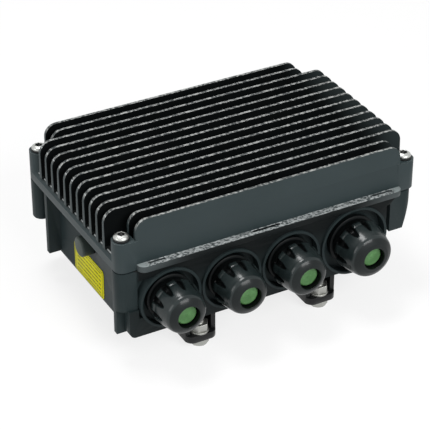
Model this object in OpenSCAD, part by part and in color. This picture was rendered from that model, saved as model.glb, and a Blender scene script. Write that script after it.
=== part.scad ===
// Field-mounted stepper driver module: a finned die-cast cover on a die-cast
// base with four cable glands, four bolted feet and the electronics inside.
// Millimetres, +Z up, +X along the fins, -Y towards the cable glands.
// Origin: middle of the four tapped holes, on the underside of the base.

/* [Cover] */
// Length of the cover along the fins
cover_l = 200; // [180:1:240]
// Number of cooling fins
fin_count = 15; // [13:2:17]
// Distance from one fin to the next
fin_pitch = 8.7; // [8:0.1:10]
// Thickness of a fin at its top edge
fin_top_t = 1.8; // [1.4:0.1:2.4]
// Thickness of a fin where it meets the plate
fin_root_t = 3.2; // [2.6:0.1:3.8]
// Height of the fins above the plate
fin_h = 22.4; // [14:0.2:30]
// Height of the rim, from the joint face to the top of the plate
rim_h = 9.3; // [8:0.1:14]
// Radius of the fins' upper corners
fin_corner_r = 7.5; // [2:0.5:10]
// Height of the corner bosses above the joint face
boss_h = 19.2; // [12:0.2:24]
// Distance that the drip ledge stands out at the front
ledge_d = 4.9; // [3:0.1:7]
// Height of the drip ledge
ledge_h = 3.8; // [2.5:0.1:6]

/* [Base] */
// Height of the base, from its underside to the joint face
base_h = 44.5; // [42:0.5:60]
// Thickness of the base's walls
wall = 4; // [3:0.5:6]
// Thickness of the base's floor
floor_t = 4; // [3:0.5:6]
// Distance from the cover's left end to the base's left wall
left_inset = 9.5; // [8:0.5:14]
// Distance from the cover's right end to the base's right wall
right_inset = 21; // [16:0.5:30]
// Thickness of the wall that carries the glands
gland_wall_t = 8; // [7:0.5:11]
// Height of the bars that join the corner pillars
bar_h = 6; // [4.5:0.5:10]
// Height of the corner pillars
pillar_h = 26; // [18:0.5:36]
// Thickness of the flat gasket in the joint
gasket_t = 0.8; // [0.5:0.1:1.5]

/* [Cable glands] */
// Height of the glands' axes above the underside
gland_z = 21.5; // [20:0.5:26]
// Distance between the three small glands
gland_pitch = 40; // [40:0.5:46]
// Distance from the third gland to the large one
gland_last_pitch = 44; // [43.5:0.5:52]
// Distance from the cover's left end to the first gland
gland_first = 32; // [31:0.5:40]
// Thread radius of a small gland
small_thread_r = 10; // [8:0.5:10]
// Thread radius of the large gland
large_thread_r = 12.5; // [10:0.5:12.5]
// Pitch of the gland nuts' thread
nut_thread_pitch = 1.5; // [1:0.5:2]

/* [Fixings] */
// Thread radius of the cover screws
cover_screw_r = 2.5; // [2:0.25:3]
// Distance between the feet along the base
foot_pitch = 82; // [70:1:90]
// Height of the feet below the underside
foot_h = 15; // [12:0.5:24]
// Thread radius of the foot bolts
foot_bolt_r = 3; // [2.5:0.5:4]
// Distance between the underside's tapped holes, along X
under_pitch_x = 124; // [100:1:130]
// Distance between the underside's tapped holes, along Y
under_pitch_y = 80; // [60:1:84]
// Radius of the underside's tapped holes
under_hole_r = 2.5; // [2:0.25:3]

/* [Hidden] */
$fn = 64;

// Clearances
run_gap = 0.05;      // a shaft or thread in its hole
slip_gap = 0.3;      // pieces of different bodies that pass each other
bolt_gap = 0.25;     // a bolt in its clearance hole
EPS = 0.01;

// Cover, worked out from the sizes above
half_l = cover_l / 2;
half_w = (fin_count - 1) / 2 * fin_pitch + fin_root_t / 2;
joint_z = base_h;
cover_z = joint_z + gasket_t;
plate_z = cover_z + rim_h;
fin_z = plate_z + fin_h;
corner_r = 6;
boss_w = 12;
screw_x = half_l - 5.8;
screw_y = half_w - 6.2;
short_fin_x = half_l - boss_w;
short_fins = ceil((boss_w + 0.5) / fin_pitch);
gutter_l = 4;        // sloped end of a gap's floor
gutter_h = 4;
fin_inset = 0.7;     // long fins end inside the cover's rim
cavity_h = 6;
cavity_in = 3.5;     // land left for the gasket

// Base
left_x = -half_l + left_inset;
right_x = half_l - right_inset;
in_left_x = left_x + wall;
in_right_x = right_x - wall;
front_y = -half_w - 1.5;
back_y = half_w;
in_front_y = front_y + gland_wall_t;
in_back_y = back_y - wall;
pillar_lean = 8;
pillar_x = right_x + 3.5;    // inner face of the leaning pillars
wing_l = 3.5;        // gland wall beyond the left wall

// Glands
gland_x = [
    -half_l + gland_first,
    -half_l + gland_first + gland_pitch,
    -half_l + gland_first + 2 * gland_pitch,
    -half_l + gland_first + 2 * gland_pitch + gland_last_pitch
];
thread_r = [small_thread_r, small_thread_r, small_thread_r, large_thread_r];
collar_r = [for (r = thread_r) r + 9.7 + (r - small_thread_r) * 0.24];
collar_l = 1.5;      // collar in front of the wall
recess_l = 6.5;      // depth of the collar's recess, from its rim
collar_t = 1.6;
nut_r = [for (r = thread_r) r + 5 - (r - small_thread_r) * 0.4];
nut_front_l = 24;
nose_r = [for (r = thread_r) r + 1.8 - (r - small_thread_r) * 0.5];
mouth_r = [for (r = thread_r) r - 2.4 - (r - small_thread_r) * 0.7];
plug_r = [for (r = mouth_r) r - 0.75];
neck_r = [for (r = thread_r) r + 0.9 - (r - small_thread_r) * 0.52];
neck_l = 13;         // threaded neck in front of the flange
seat_y = front_y - collar_l + recess_l;
flange_seal_t = 1;
flange_t = 3.5;
nut_y = seat_y - flange_seal_t - flange_t - slip_gap;
nut_tip_y = nut_y - nut_front_l;
nut_bore_l = neck_l + 2.2;
seal_back_y = seat_y - 3.4;
seal_front_y = nut_y - nut_bore_l + slip_gap;
large_extra = large_thread_r - small_thread_r;
flute_count = 10;

// Feet and fixings
foot_x = [gland_x[0] + gland_pitch / 2, gland_x[0] + gland_pitch / 2 + foot_pitch];
foot_w = 20;
foot_t = 4.5;
foot_back = 14;
foot_y = half_w - 1;
foot_side_t = 3;
bolt_head_h = 4;
bolt_head_r = 5.77;
bolt_washer_t = 1.2;
bolt_nut_h = 5;
screw_head_h = 2.6;
screw_head_r = 4.5;
screw_washer_t = 1;
tap_depth = 6.5;

// Side vent plug and label
vent_y = -7;
vent_z = joint_z - 12.3;
vent_r = 6.4;
vent_thread_r = 5;
vent_out = 7.6;
label_t = 0.3;
label_l = 40;
label_h = 20;

// Electronics carried by the cover
cavity_z = cover_z + cavity_h;
board_t = 1.6;
pad_t = 1;
transistor_h = 4.4;
power_z = cavity_z - pad_t - transistor_h - board_t;
power_x0 = in_left_x + 8;
power_x1 = in_right_x - 8;
power_y = 40;
spacer_h = 12;
control_z = power_z - spacer_h - board_t;
control_x0 = power_x0;
control_x1 = power_x0 + 74;
control_y = 30;
m3_r = 1.5;
spacer_xy = [for (x = [control_x0 + 5, control_x1 - 5], y = [-control_y + 5, control_y - 5]) [x, y]];
board_screw_xy = [for (x = [power_x0 + 4.5, power_x1 - 4.5], y = [-power_y + 4.5, power_y - 4.5]) [x, y]];
capacitor_r = 8;
capacitor_l = 17;
capacitor_xy = [for (i = [0:1], j = [0:1]) [power_x1 - 16 - i * 19, -10 + j * 19]];
choke_r = 12;
choke_hole_r = 5.5;
choke_h = 9;
choke_x = power_x1 - 56;
choke_y = -22;
choke_wire_r = 0.8;

// Terminal board on the base's floor
stand_h = 6;
terminal_z = floor_t + stand_h;
terminal_y = 30;
terminal_x0 = in_left_x + 6;
terminal_x1 = in_right_x - 6;
terminal_top = terminal_z + board_t;
block_h = 11;
block_d = 12;
way_w = 5.08;
block_y = -20;
header_x = control_x0 + 37;
header_y = 12;
header_w = 26;
header_d = 6;
socket_h = 8.5;
under_boss_r = 6;
under_depth = 9;
stand_xy = [for (x = [terminal_x0 + 4, terminal_x1 - 4], y = [-terminal_y + 4, terminal_y - 4]) [x, y]];
dial_r = 3.2;
dial_xy = [[terminal_x1 - 20, 16], [terminal_x1 - 34, 16]];
switch_w = 10;
switch_h = 5;
earth_xy = [in_left_x + 9, in_back_y - 9];
earth_h = 8;

// ---------------------------------------------------------------- helpers

// Box given by its low and high corners
module box(lo, hi) {
    translate(lo) cube(hi - lo);
}

// Flat rounded rectangle between two corners, with true arcs
module round_rect(lo, hi, r) {
    translate([lo[0] + r, lo[1]]) square([hi[0] - lo[0] - 2 * r, hi[1] - lo[1]]);
    translate([lo[0], lo[1] + r]) square([hi[0] - lo[0], hi[1] - lo[1] - 2 * r]);
    for (x = [lo[0] + r, hi[0] - r], y = [lo[1] + r, hi[1] - r]) translate([x, y]) circle(r);
}

// Upright block with rounded vertical edges
module round_box(lo, hi, r) {
    translate([0, 0, lo[2]]) linear_extrude(hi[2] - lo[2]) round_rect(lo, hi, r);
}

// Stands a flat X-Z outline up and carries it along Y from y0 to y1
module along_y(y0, y1) {
    translate([0, y1, 0]) rotate([90, 0, 0]) linear_extrude(y1 - y0) children();
}

// Stands a flat Y-Z outline up and carries it along X from x0 to x1
module along_x(x0, x1) {
    translate([x0, 0, 0]) rotate([90, 0, 90]) linear_extrude(x1 - x0) children();
}

// Rod, tube or cone along -Y, starting at y and running to the front
module rod_y(x, y, z, l, r, r2) {
    translate([x, y, z]) rotate([90, 0, 0]) cylinder(h = l, r1 = r, r2 = is_undef(r2) ? r : r2);
}

module tube_y(x, y, z, l, r, hole_r) {
    difference() {
        rod_y(x, y, z, l, r);
        rod_y(x, y + 1, z, l + 2, hole_r);
    }
}

module ring(h, r, hole_r) {
    difference() {
        cylinder(h = h, r = r);
        translate([0, 0, -1]) cylinder(h = h + 2, r = hole_r);
    }
}

module at_cover_screws() {
    for (x = [-screw_x, screw_x], y = [-screw_y, screw_y]) translate([x, y, 0]) children();
}

module at_feet() {
    for (x = foot_x, s = [-1, 1]) translate([x, s * foot_y, 0]) children();
}

module at_points(points) {
    for (p = points) translate([p[0], p[1], 0]) children();
}

// ---------------------------------------------------------------- cover

// Outline of a fin seen from the front, from the plate to the rounded top
module fin_outline(x) {
    r = min(fin_corner_r, fin_h / 2);
    translate([-x, cover_z + 1]) square([2 * x, fin_z - cover_z - 1 - r]);
    translate([-x + r, cover_z + 1]) square([2 * x - 2 * r, fin_z - cover_z - 1]);
    for (s = [-1, 1]) translate([s * (x - r), fin_z - r]) circle(r);
}

// Sections of the fins from first to last, tapering to the top
module fin_sections(first, last) {
    for (i = [first:last]) {
        y = (i - (fin_count - 1) / 2) * fin_pitch;
        polygon([
            [y - fin_root_t / 2, plate_z - 2],
            [y + fin_root_t / 2, plate_z - 2],
            [y + fin_root_t / 2, plate_z],
            [y + fin_top_t / 2, fin_z + EPS],
            [y - fin_top_t / 2, fin_z + EPS],
            [y - fin_root_t / 2, plate_z]
        ]);
    }
}

module fin_group(first, last, x) {
    intersection() {
        along_x(-x - 1, x + 1) fin_sections(first, last);
        along_y(-half_w - 1, half_w + 1) fin_outline(x);
    }
}

// Plate under the fins, with a sloped gutter at both ends of each gap
module cover_plate() {
    intersection() {
        along_y(-half_w, half_w) polygon([
            [-half_l, cover_z],
            [half_l, cover_z],
            [half_l, plate_z - gutter_h],
            [half_l - gutter_l, plate_z],
            [-half_l + gutter_l, plate_z],
            [-half_l, plate_z - gutter_h]
        ]);
        round_box([-half_l, -half_w, cover_z - 1], [half_l, half_w, fin_z], corner_r);
    }
}

module cover_bosses() {
    for (a = [0, 1], b = [0, 1]) mirror([a, 0, 0]) mirror([0, b, 0])
        union() {
            round_box([-half_l, -half_w, cover_z], [-half_l + boss_w, -half_w + boss_w, cover_z + boss_h], corner_r - 0.5);
            box([-half_l + boss_w / 2, -half_w, cover_z], [-short_fin_x + 1.5, -half_w + 4.5, cover_z + boss_h]);
        }
}

module drip_ledge() {
    x = half_l - boss_w;
    y = -half_w - ledge_d;
    round_box([-x, y, cover_z], [x, -half_w + 5, cover_z + ledge_h], 4.5);
}

module ledge_slots() {
    y = -half_w - 2.4;
    z = cover_z + ledge_h - 1.5;
    for (s = [[-0.92, -0.80], [-0.16, 0.05], [0.77, 0.93]])
        round_box([s[0] * short_fin_x, y, z], [s[1] * short_fin_x, y + 1.6, z + 3], 0.75);
}

module heatsink_cover() {
    color([0.17, 0.18, 0.19]) difference() {
        union() {
            cover_plate();
            fin_group(0, short_fins - 1, short_fin_x);
            fin_group(short_fins, fin_count - 1 - short_fins, half_l - fin_inset);
            fin_group(fin_count - short_fins, fin_count - 1, short_fin_x);
            cover_bosses();
            drip_ledge();
        }
        difference() {
            round_box([in_left_x + cavity_in - 1, in_front_y + cavity_in, cover_z - 1],
                [in_right_x - cavity_in + 1, in_back_y - cavity_in, cavity_z], 3);
            at_points(board_screw_xy) translate([0, 0, power_z + board_t]) cylinder(h = 20, r = 3.6);
        }
        at_points(board_screw_xy) translate([0, 0, power_z - 1]) cylinder(h = 7.5, r = m3_r + run_gap);
        round_box([right_x + 3.5, -screw_y + 9, cover_z - 1], [half_l - 3.5, screw_y - 9, cover_z + 5], 2);
        at_cover_screws() translate([0, 0, cover_z - 1]) cylinder(h = boss_h + 2, r = cover_screw_r + bolt_gap);
        ledge_slots();
    }
}

// ---------------------------------------------------------------- base

// Wall that carries the glands, with rounded lower corners and room for the left pillar
module gland_wall() {
    difference() {
        along_y(front_y, in_front_y) {
            round_rect([left_x - wing_l, 0], [right_x, joint_z], 4);
            translate([left_x - wing_l, joint_z - 10]) square([right_x - left_x + wing_l, 10]);
        }
        box([-half_l, front_y - 1, joint_z - pillar_h], [-half_l + boss_w, -half_w, joint_z + 1]);
    }
}

// Outside of the tub, without its inside
module tub_block() {
    round_box([left_x, front_y, 0], [right_x, back_y, joint_z], 3);
}

// Corner posts: upright on the left, leaning in to the short base on the right
module posts() {
    z = joint_z - pillar_h;
    y = -half_w;
    for (s = [0, 1]) mirror([0, s, 0]) {
        round_box([-half_l, y, z], [-half_l + boss_w, y + boss_w, joint_z], corner_r - 0.5);
        intersection() {
            union() {
                round_box([pillar_x, y, z], [half_l - 1.8, y + boss_w, joint_z], corner_r - 0.5);
                box([pillar_x, y, z], [pillar_x + 7, y + boss_w, joint_z]);
            }
            along_y(y - 1, y + boss_w + 1) polygon([
                [pillar_x - 1, z],
                [half_l - pillar_lean, z],
                [half_l - 2.6, joint_z - tap_depth],
                [half_l - 1.8, joint_z + 1],
                [pillar_x - 1, joint_z + 1]
            ]);
        }
        box([right_x - 4, y + 1, joint_z - bar_h], [screw_x, y + boss_w - 1, joint_z]);
    }
}

// The four posts, cast on to the outside of the tub
module corner_pillars() {
    color([0.14, 0.15, 0.16]) difference() {
        posts();
        tub_block();
        gland_wall();
        at_cover_screws() translate([0, 0, joint_z - tap_depth]) cylinder(h = 20, r = cover_screw_r + run_gap);
    }
}

// Two upright ribs that guard the left wall
module guard_ribs() {
    x = -half_l + 0.8;
    color([0.14, 0.15, 0.16]) difference() {
        union() {
            box([x, -half_w + 5.3, 1.2], [left_x + 1, -half_w + 8.9, joint_z - pillar_h]);
            box([x + 0.6, in_back_y - 20.4, 1.2], [left_x + 1, in_back_y - 16.8, joint_z - 1]);
        }
        tub_block();
        gland_wall();
    }
}

// Foot: a pad on a channel-shaped bracket under the base, open to the outside
module foot() {
    difference() {
        union() {
            round_box([-foot_w / 2, -5.6, -foot_h], [foot_w / 2, foot_back - 6, -foot_h + foot_t], 5);
            box([-foot_w / 2, -1.8, -foot_h], [foot_w / 2, foot_back, 0]);
        }
        box([-foot_w / 2 + foot_side_t, -7, -foot_h + foot_t], [foot_w / 2 - foot_side_t, foot_back - foot_side_t, 1]);
        translate([0, 0, -foot_h - 1]) cylinder(h = foot_t + 2, r = foot_bolt_r + bolt_gap);
    }
}

module mounting_feet() {
    color([0.12, 0.13, 0.14])
        for (x = foot_x, s = [0, 1]) mirror([0, s, 0]) translate([x, -foot_y, 0]) foot();
}

// Bosses on the base's floor: for the underside's tapped holes, the terminal board and the earth screw
module floor_bosses() {
    color([0.13, 0.14, 0.15]) difference() {
        union() {
            for (x = [-0.5, 0.5], y = [-0.5, 0.5])
                translate([x * under_pitch_x, y * under_pitch_y, floor_t]) cylinder(h = under_depth + 3 - floor_t, r = under_boss_r);
            at_points(stand_xy) translate([0, 0, floor_t]) cylinder(h = stand_h, r = 3.5);
            at_points([earth_xy]) translate([0, 0, floor_t]) cylinder(h = earth_h - floor_t, r = 5.5);
        }
        under_holes();
        floor_taps();
    }
}

module under_holes() {
    for (x = [-0.5, 0.5], y = [-0.5, 0.5])
        translate([x * under_pitch_x, y * under_pitch_y, -1]) cylinder(h = under_depth + 1, r = under_hole_r);
}

module floor_taps() {
    at_points(stand_xy) translate([0, 0, floor_t - 1]) cylinder(h = 20, r = m3_r + run_gap);
    at_points([earth_xy]) translate([0, 0, floor_t - 2]) cylinder(h = 20, r = 2 + run_gap);
}

// Flange over the glands, under the cover's drip ledge
module wall_flange() {
    x = half_l - boss_w - 1.5;
    h = bar_h - 0.5;
    along_y(front_y, -half_w) polygon([
        [-x + h, joint_z - h],
        [x - h, joint_z - h],
        [x, joint_z],
        [-x, joint_z]
    ]);
}

// Base casting behind the gland wall: floor and three walls
module base_housing() {
    color([0.13, 0.14, 0.15]) difference() {
        intersection() {
            tub_block();
            box([left_x - 1, in_front_y, -1], [right_x + 1, back_y + 1, joint_z + 1]);
        }
        box([in_left_x, in_front_y - 1, floor_t], [in_right_x, in_back_y, joint_z + 1]);
        under_holes();
        floor_taps();
        translate([left_x - 5, vent_y, vent_z]) rotate([0, 90, 0]) cylinder(h = wall + 10, r = vent_thread_r + run_gap);
    }
}

// Base casting's front wall, its four collars and the flange over them
module collar_wall() {
    color([0.14, 0.15, 0.16]) difference() {
        union() {
            difference() {
                union() {
                    gland_wall();
                    wall_flange();
                }
                box([left_x + 2.5, front_y - 1, joint_z - pillar_h - 6], [gland_x[0], front_y + 5, joint_z - bar_h]);
            }
            for (i = [0:3]) rod_y(gland_x[i], in_front_y, gland_z, in_front_y - front_y + collar_l, collar_r[i]);
        }
        for (i = [0:3]) {
            rod_y(gland_x[i], seat_y, gland_z, 20, collar_r[i] - collar_t);
            rod_y(gland_x[i], in_front_y + 1, gland_z, 20, thread_r[i] + run_gap);
        }
        at_cover_screws() translate([0, 0, joint_z - tap_depth]) cylinder(h = 20, r = cover_screw_r + run_gap);
        under_holes();
    }
}

// Flat gasket on the base's rim
module cover_gasket() {
    color([0.05, 0.05, 0.05]) difference() {
        round_box([left_x + 0.4, front_y + 0.4, joint_z], [right_x - 0.4, back_y - 0.4, joint_z + gasket_t], 2.6);
        box([in_left_x, in_front_y, joint_z - 1], [in_right_x, in_back_y, joint_z + 5]);
        at_cover_screws() translate([0, 0, joint_z - 1]) cylinder(h = 5, r = cover_screw_r + 1);
    }
}

// Pan-head screws with a six-sided drive, captive in the cover
module cover_screws() {
    z = cover_z + boss_h + screw_washer_t;
    color([0.75, 0.75, 0.73]) at_cover_screws() difference() {
        union() {
            translate([0, 0, joint_z - tap_depth + 0.8]) cylinder(h = z - joint_z + tap_depth, r = cover_screw_r);
            translate([0, 0, z]) cylinder(h = 1.1, r = screw_head_r);
            translate([0, 0, z + 1.1]) cylinder(h = screw_head_h - 1.1, r1 = screw_head_r, r2 = screw_head_r - 1.6);
        }
        translate([0, 0, z + screw_head_h - 2]) cylinder(h = 3, r = 2.2, $fn = 6);
    }
}

module cover_screw_washers() {
    color([0.7, 0.7, 0.68]) at_cover_screws() translate([0, 0, cover_z + boss_h])
        ring(screw_washer_t, screw_head_r + 0.4, cover_screw_r + bolt_gap);
}

// ---------------------------------------------------------------- feet fixings

module foot_bolts() {
    color([0.72, 0.72, 0.7]) at_feet() {
        translate([0, 0, -foot_h - bolt_head_h]) cylinder(h = bolt_head_h, r = bolt_head_r, $fn = 6);
        translate([0, 0, -foot_h - 1]) cylinder(h = foot_t + bolt_washer_t + bolt_nut_h + 2.5, r = foot_bolt_r);
    }
}

module foot_bolt_washers() {
    color([0.72, 0.72, 0.7]) at_feet() translate([0, 0, -foot_h + foot_t])
        ring(bolt_washer_t, bolt_head_r + 0.1, foot_bolt_r + bolt_gap);
}

module foot_bolt_nuts() {
    color([0.72, 0.72, 0.7]) at_feet() translate([0, 0, -foot_h + foot_t + bolt_washer_t]) difference() {
        cylinder(h = bolt_nut_h, r = bolt_head_r, $fn = 6);
        translate([0, 0, -1]) cylinder(h = bolt_nut_h + 2, r = foot_bolt_r + run_gap);
    }
}

// ---------------------------------------------------------------- left wall

module rating_label() {
    color([0.86, 0.82, 0.12])
        box([left_x - label_t, -22.5, 0.8], [left_x, -22.5 + label_l, 0.8 + label_h]);
}

module vent_plug() {
    color([0.2, 0.21, 0.22]) translate([left_x, vent_y, vent_z]) rotate([0, 90, 0]) {
        translate([0, 0, -vent_out]) cylinder(h = vent_out - 1, r = vent_r);
        translate([0, 0, -vent_out - 0.8]) cylinder(h = 0.8, r1 = vent_r - 0.8, r2 = vent_r);
        translate([0, 0, -2]) cylinder(h = wall + 9, r = vent_thread_r);
    }
}

module vent_plug_seal() {
    color([0.05, 0.05, 0.05]) translate([left_x - 1, vent_y, vent_z]) rotate([0, 90, 0])
        ring(1, vent_r - 0.3, vent_thread_r + run_gap);
}

module vent_plug_locknut() {
    color([0.3, 0.3, 0.3]) translate([in_left_x, vent_y, vent_z]) rotate([0, 90, 0]) difference() {
        cylinder(h = 3, r = vent_r + 1.2, $fn = 6);
        translate([0, 0, -1]) cylinder(h = 5, r = vent_thread_r + run_gap);
    }
}

// ---------------------------------------------------------------- glands

// Gland body: flange in the collar's recess, threads on both sides of the wall
module gland_body(i) {
    back_l = gland_wall_t + collar_l - recess_l + 9;
    color([0.1, 0.1, 0.11]) difference() {
        union() {
            rod_y(gland_x[i], seat_y - flange_seal_t, gland_z, flange_t, nut_r[i] - 0.6);
            rod_y(gland_x[i], seat_y + back_l, gland_z, back_l + 3, thread_r[i]);
            rod_y(gland_x[i], seat_y - 2, gland_z, flange_t + neck_l, neck_r[i]);
        }
        rod_y(gland_x[i], seat_y + back_l + 1, gland_z, back_l + 20, plug_r[i] + 0.2);
        rod_y(gland_x[i], seat_y - 3, gland_z, 40, plug_r[i] + 2.2 + run_gap);
    }
}

// Distance from the nut's back face at which the outer curve has run t of its way
function nut_curve(i, t) = [
    nose_r[i] + (nut_r[i] - nose_r[i]) * (1 + cos(180 * pow(t, 0.85))) / 2 - 0.5 * sin(180 * t),
    6 + t * (nut_front_l - 9)
];

// Fluted dome nut; its mouth shows the blanking plug
module gland_nut(i) {
    tip_r = 1.8;
    steps = 10;
    color([0.12, 0.12, 0.13]) difference() {
        translate([gland_x[i], nut_y, gland_z]) rotate([90, 0, 0]) difference() {
            union() {
                rotate_extrude() polygon(concat(
                    [[0, 0], [nut_r[i] - 0.6, 0], [nut_r[i], 0.6]],
                    [for (k = [0:steps]) nut_curve(i, k / steps)],
                    [for (a = [0:15:90]) [nose_r[i] - tip_r + tip_r * cos(a), nut_front_l - tip_r + tip_r * sin(a)]],
                    [[0, nut_front_l]]
                ));
            }
            for (k = [0:flute_count - 1]) rotate([0, 0, (k + 0.5) * 360 / flute_count])
                translate([nut_r[i] + 1.2, 0, -1]) cylinder(h = nut_front_l - 8, r = 2.7);
        }
        rod_y(gland_x[i], nut_y + 1, gland_z, nut_bore_l + 1, neck_r[i] + run_gap);
        rod_y(gland_x[i], nut_y + 1, gland_z, nut_front_l + 5, mouth_r[i]);
    }
}

// Rubber sleeve that the nut squeezes onto a cable
module gland_seal(i) {
    color([0.08, 0.08, 0.08])
        tube_y(gland_x[i], seal_back_y, gland_z, seal_back_y - seal_front_y, plug_r[i] + 2.2, plug_r[i]);
}

// Green blanking plug in the gland's mouth
module gland_blanking_plug(i) {
    y = seat_y - 6;
    l = y - nut_tip_y - 2.4;
    color([0.33, 0.52, 0.3]) {
        rod_y(gland_x[i], y, gland_z, l - 1, plug_r[i] - 0.02);
        rod_y(gland_x[i], y - l + 1.01, gland_z, 1.01, plug_r[i] - 0.02, plug_r[i] - 0.6);
    }
}

module gland_flange_seals() {
    color([0.05, 0.05, 0.05]) for (i = [0:3])
        tube_y(gland_x[i], seat_y, gland_z, flange_seal_t, nut_r[i] - 1.2, thread_r[i] + run_gap);
}

module gland_locknuts() {
    color([0.12, 0.12, 0.13]) for (i = [0:3]) difference() {
        translate([gland_x[i], in_front_y + 5, gland_z]) rotate([90, 0, 0])
            cylinder(h = 5, r = thread_r[i] + 4, $fn = 6);
        rod_y(gland_x[i], in_front_y + 10, gland_z, 20, thread_r[i] + run_gap);
    }
}

// ---------------------------------------------------------------- cover electronics

module board_holes(points, r) {
    at_points(points) translate([0, 0, -1]) cylinder(h = 100, r = r);
}

module power_board() {
    color([0.05, 0.3, 0.15]) difference() {
        box([power_x0, -power_y, power_z], [power_x1, power_y, power_z + board_t]);
        board_holes(board_screw_xy, m3_r + bolt_gap);
    }
}

module thermal_pad() {
    color([0.7, 0.7, 0.75])
        box([power_x0 + 14, 12, cavity_z - pad_t], [power_x1 - 14, 34, cavity_z]);
}

module power_transistors() {
    w = 10;
    count = floor((power_x1 - power_x0 - 34) / (w + 4));
    color([0.1, 0.1, 0.1]) for (i = [0:count - 1]) {
        x = power_x0 + 17 + i * (w + 4);
        box([x, 14, power_z + board_t], [x + w, 30, power_z + board_t + transistor_h]);
    }
}

module bulk_capacitors() {
    color([0.15, 0.2, 0.35]) at_points(capacitor_xy) translate([0, 0, power_z - capacitor_l]) {
        translate([0, 0, 1]) cylinder(h = capacitor_l - 1, r = capacitor_r);
        cylinder(h = 1, r1 = capacitor_r - 1, r2 = capacitor_r);
    }
}

module choke_core() {
    color([0.5, 0.5, 0.2]) translate([choke_x, choke_y, power_z - choke_h - 2])
        ring(choke_h, choke_r, choke_hole_r);
}

// Turns of wire round the core: flat U-shaped loops with pins up to the board
module choke_winding() {
    color([0.72, 0.4, 0.2]) translate([choke_x, choke_y, power_z]) for (k = [0:9]) rotate([0, 0, k * 36]) {
        x0 = choke_hole_r - 2 * choke_wire_r - run_gap;
        x1 = choke_r + run_gap;
        z0 = -choke_h - 2 - 2 * choke_wire_r;
        box([x0, -choke_wire_r, z0], [x0 + 2 * choke_wire_r, choke_wire_r, -2 + choke_wire_r]);
        box([x1, -choke_wire_r, z0], [x1 + 2 * choke_wire_r, choke_wire_r, 0]);
        box([x0, -choke_wire_r, z0], [x1 + 1, choke_wire_r, z0 + 2 * choke_wire_r - run_gap]);
        box([x0, -choke_wire_r, -2 + run_gap], [x1 + 1, choke_wire_r, -2 + 2 * choke_wire_r]);
    }
}

module control_board() {
    color([0.05, 0.25, 0.4]) difference() {
        box([control_x0, -control_y, control_z], [control_x1, control_y, control_z + board_t]);
        board_holes(spacer_xy, m3_r + bolt_gap);
    }
}

module board_spacers() {
    color([0.75, 0.65, 0.3]) at_points(spacer_xy) difference() {
        translate([0, 0, control_z + board_t]) cylinder(h = spacer_h, r = 3.2, $fn = 6);
        translate([0, 0, control_z]) cylinder(h = 8, r = m3_r + run_gap);
    }
}

module pan_screw(l) {
    translate([0, 0, -l]) cylinder(h = l + 0.5, r = m3_r);
    difference() {
        cylinder(h = 2.2, r = 2.8);
        translate([0, 0, 0.9]) cylinder(h = 3, r = 1.2, $fn = 6);
    }
}

module board_screws() {
    color([0.7, 0.7, 0.7]) {
        at_points(board_screw_xy) translate([0, 0, power_z]) mirror([0, 0, 1]) pan_screw(6);
        at_points(spacer_xy) translate([0, 0, control_z]) mirror([0, 0, 1]) pan_screw(6);
    }
}

module control_chips() {
    color([0.08, 0.08, 0.08]) {
        box([control_x0 + 16, -10, control_z - 1.6], [control_x0 + 30, 4, control_z]);
        box([control_x0 + 44, -16, control_z - 1.6], [control_x0 + 52, -8, control_z]);
        box([control_x0 + 56, -4, control_z - 1.6], [control_x0 + 62, 8, control_z]);
    }
}

// Long-pin header under the control board and its socket on the terminal board
module link_header() {
    top = control_z;
    bottom = terminal_top + socket_h + slip_gap;
    color([0.1, 0.1, 0.1]) {
        box([header_x - header_w / 2, header_y - header_d / 2, bottom], [header_x + header_w / 2, header_y + header_d / 2, top]);
        for (k = [0:7]) translate([header_x + (k - 3.5) * 2.54 - 0.32, header_y - 0.32, bottom - 5]) cube([0.64, 0.64, 6]);
    }
}

module link_socket() {
    color([0.12, 0.12, 0.12]) difference() {
        box([header_x - header_w / 2, header_y - header_d / 2, terminal_top],
            [header_x + header_w / 2, header_y + header_d / 2, terminal_top + socket_h]);
        box([header_x - header_w / 2 + 2, header_y - 1.4, terminal_top + 2],
            [header_x + header_w / 2 - 2, header_y + 1.4, terminal_top + socket_h + 1]);
    }
}

// ---------------------------------------------------------------- base electronics

module terminal_board() {
    color([0.05, 0.3, 0.15]) difference() {
        box([terminal_x0, -terminal_y, terminal_z], [terminal_x1, terminal_y, terminal_top]);
        board_holes(stand_xy, m3_r + bolt_gap);
    }
}

module terminal_board_screws() {
    color([0.7, 0.7, 0.7]) at_points(stand_xy) translate([0, 0, terminal_top]) pan_screw(5.5);
}

// Screw terminal with a wire funnel and a screw well per way
module terminal_block(x, ways) {
    difference() {
        box([x, block_y - block_d / 2, terminal_top], [x + ways * way_w, block_y + block_d / 2, terminal_top + block_h]);
        for (i = [0:ways - 1]) {
            cx = x + (i + 0.5) * way_w;
            box([cx - 1.8, block_y - block_d / 2 - 1, terminal_top + 1.6], [cx + 1.8, block_y - 2, terminal_top + 5.2]);
            translate([cx, block_y, terminal_top + 6]) cylinder(h = block_h, r = 1.9);
        }
    }
}

terminal_ways = [4, 6, 8];
terminal_x = [terminal_x0 + 14, terminal_x0 + 44, terminal_x0 + 84];

module supply_terminal() {
    color([0.2, 0.45, 0.25]) terminal_block(terminal_x[0], terminal_ways[0]);
}

module motor_terminal() {
    color([0.2, 0.45, 0.25]) terminal_block(terminal_x[1], terminal_ways[1]);
}

module signal_terminal() {
    color([0.2, 0.45, 0.25]) terminal_block(terminal_x[2], terminal_ways[2]);
}

module terminal_clamp_screws() {
    color([0.7, 0.7, 0.7]) for (b = [0:2], i = [0:terminal_ways[b] - 1])
        translate([terminal_x[b] + (i + 0.5) * way_w, block_y, terminal_top + 6]) difference() {
            cylinder(h = 3, r = 1.85);
            translate([-2, -0.3, 2.2]) cube([4, 0.6, 2]);
        }
}

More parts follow.
